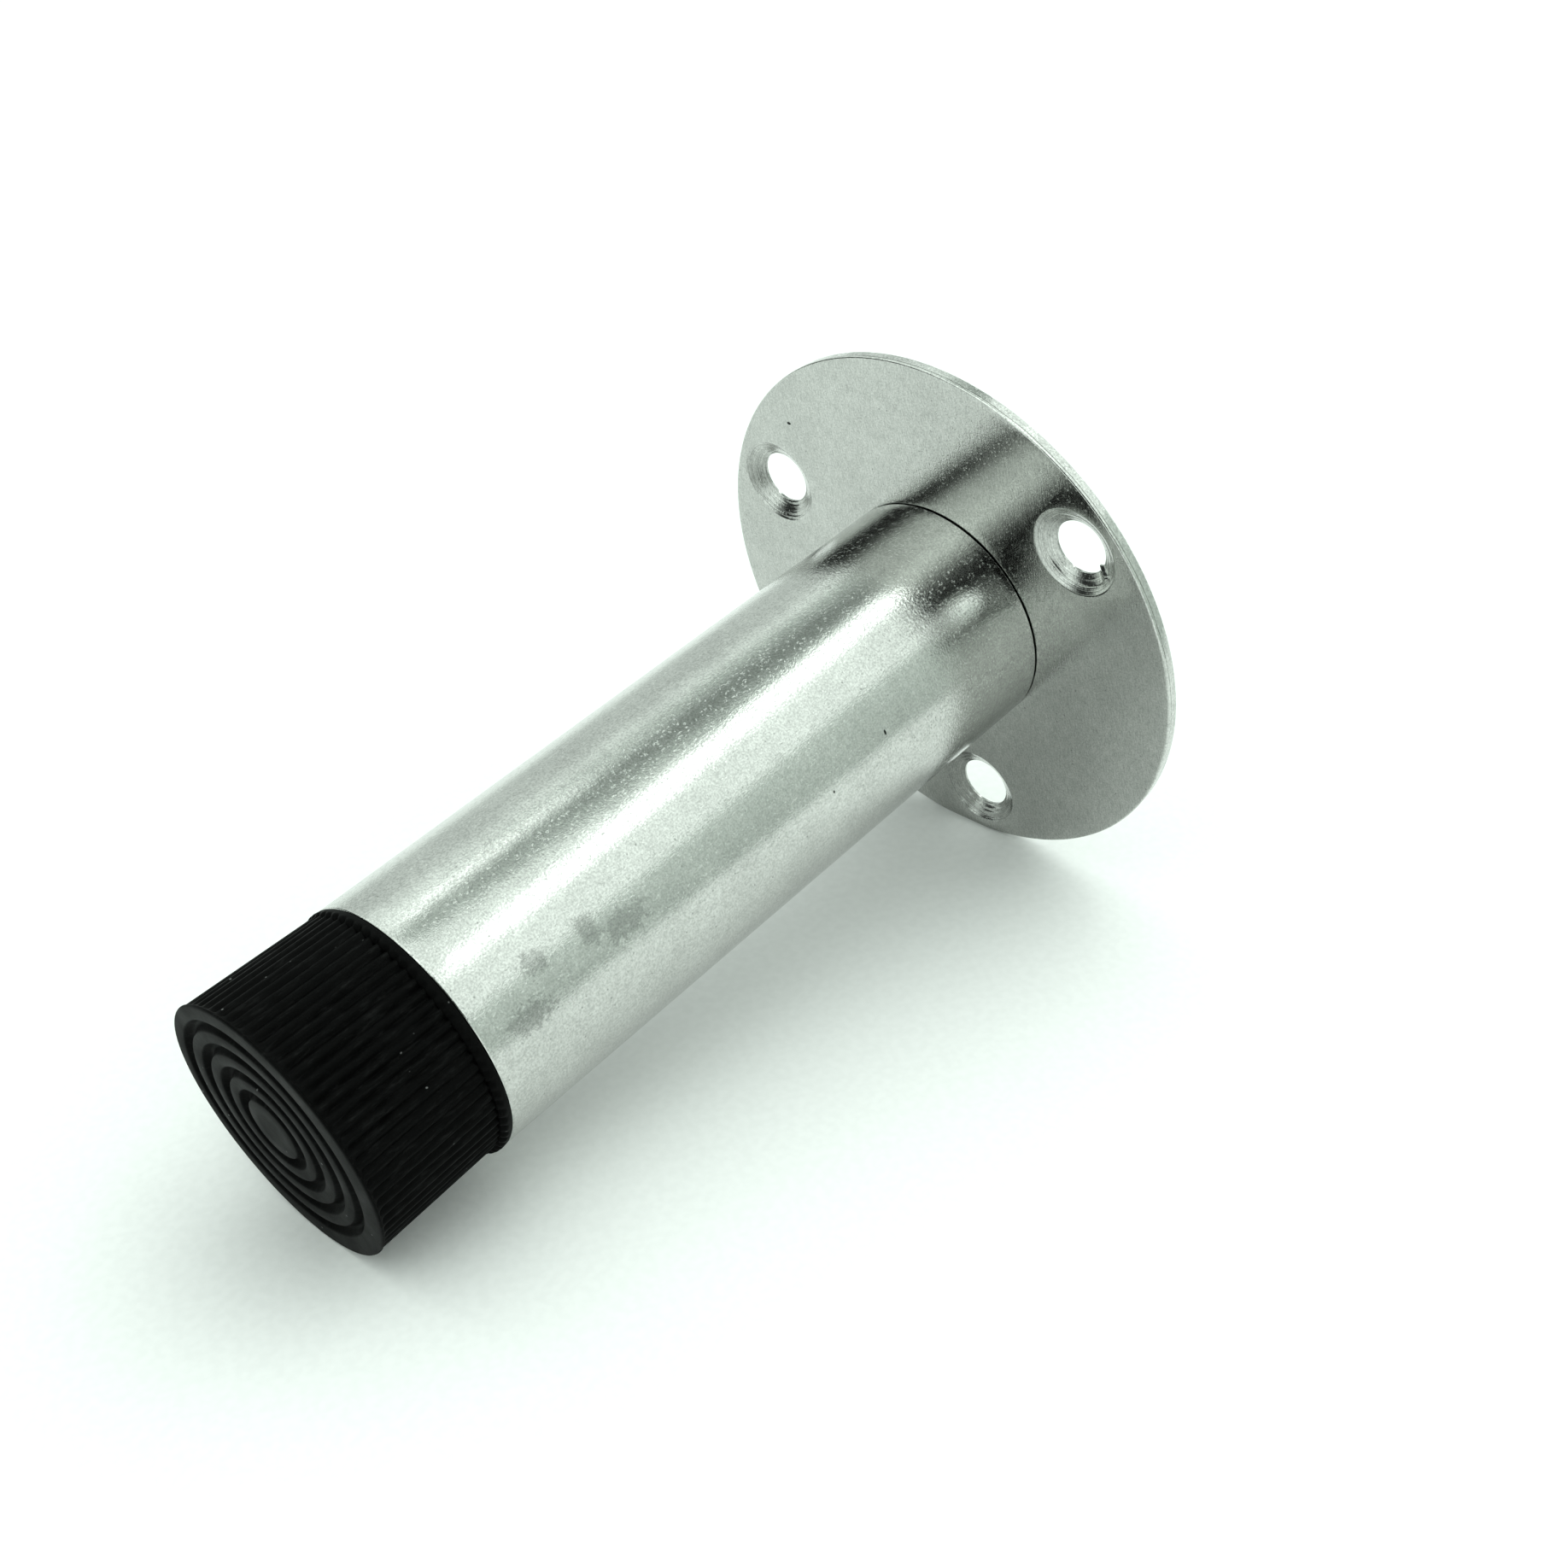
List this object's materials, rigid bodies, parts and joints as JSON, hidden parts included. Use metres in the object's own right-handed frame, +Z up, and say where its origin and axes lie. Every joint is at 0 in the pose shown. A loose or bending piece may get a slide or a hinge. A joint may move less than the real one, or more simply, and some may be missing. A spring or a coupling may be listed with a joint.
{
  "type": "wall door stop",
  "caption": "Wall-mounted door stop: round rose plate with countersunk fixing holes, plain metal tube and ribbed rubber buffer on its end.",
  "frame": {"origin": "centre of the plate's flat back, on the wall plane", "axes": "+Y into the wall, so the tube runs along -Y to the rubber's face; +Z up, with one fixing hole straight below the tube"},
  "size_m": [0.05, 0.075, 0.05],
  "materials": {
    "plate_nickel": "satin nickel plate",
    "tube_nickel": "satin nickel plate, finely pitted",
    "screw_zinc": "bright zinc plate",
    "plug_steel": "turned, plain",
    "black_rubber": "matt moulded"
  },
  "bodies": {
    "stop": {"base_plate": "plate_nickel", "clamp_screw": "screw_zinc", "threaded_plug": "plug_steel", "tube": "tube_nickel"},
    "buffer": {"rubber_buffer": "black_rubber"}
  },
  "joints": [
    {"name": "buffer_give", "type": "slide", "parent": "stop", "child": "buffer", "axis": [0, 1, 0], "range_m": [0, 0.0007], "stiffness_N_per_m": 110000}
  ]
}
